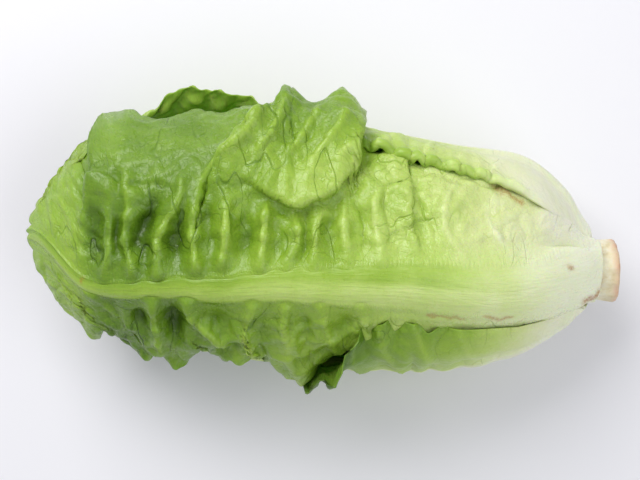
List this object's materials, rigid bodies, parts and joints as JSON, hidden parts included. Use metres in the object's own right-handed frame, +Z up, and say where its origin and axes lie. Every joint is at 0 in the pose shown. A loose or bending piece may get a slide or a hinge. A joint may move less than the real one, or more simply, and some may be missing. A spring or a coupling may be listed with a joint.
{
  "type": "romaine lettuce",
  "caption": "Whole head of romaine lettuce lying on its side, loose ribbed leaves folded round a heart on a short cut stem.",
  "frame": {"origin": "centre of the head's bounding box at its base, on the surface that the head lies on", "axes": "+X along the head from its leaf tips to the cut stem, +Y across it, +Z up from the surface it lies on"},
  "size_m": [0.25, 0.1302, 0.0949],
  "materials": {
    "stem": "satin",
    "top_leaf": "waxy satin",
    "outer_leaf": "waxy satin",
    "second_leaf": "waxy satin",
    "third_leaf": "waxy satin",
    "fourth_leaf": "waxy satin",
    "fifth_leaf": "waxy satin",
    "heart_leaf": "waxy satin"
  },
  "bodies": {
    "root": {"stem": "stem", "top_leaf": "top_leaf", "outer_leaf_1": "outer_leaf", "outer_leaf_2": "outer_leaf", "outer_leaf_3": "outer_leaf", "second_leaf_1": "second_leaf", "second_leaf_2": "second_leaf", "second_leaf_3": "second_leaf", "second_leaf_4": "second_leaf", "third_leaf_1": "third_leaf", "third_leaf_2": "third_leaf", "third_leaf_3": "third_leaf", "third_leaf_4": "third_leaf", "fourth_leaf_1": "fourth_leaf", "fourth_leaf_2": "fourth_leaf", "fourth_leaf_3": "fourth_leaf", "fifth_leaf_1": "fifth_leaf", "fifth_leaf_2": "fifth_leaf", "fifth_leaf_3": "fifth_leaf", "heart_leaf_1": "heart_leaf", "heart_leaf_2": "heart_leaf"}
  },
  "joints": []
}
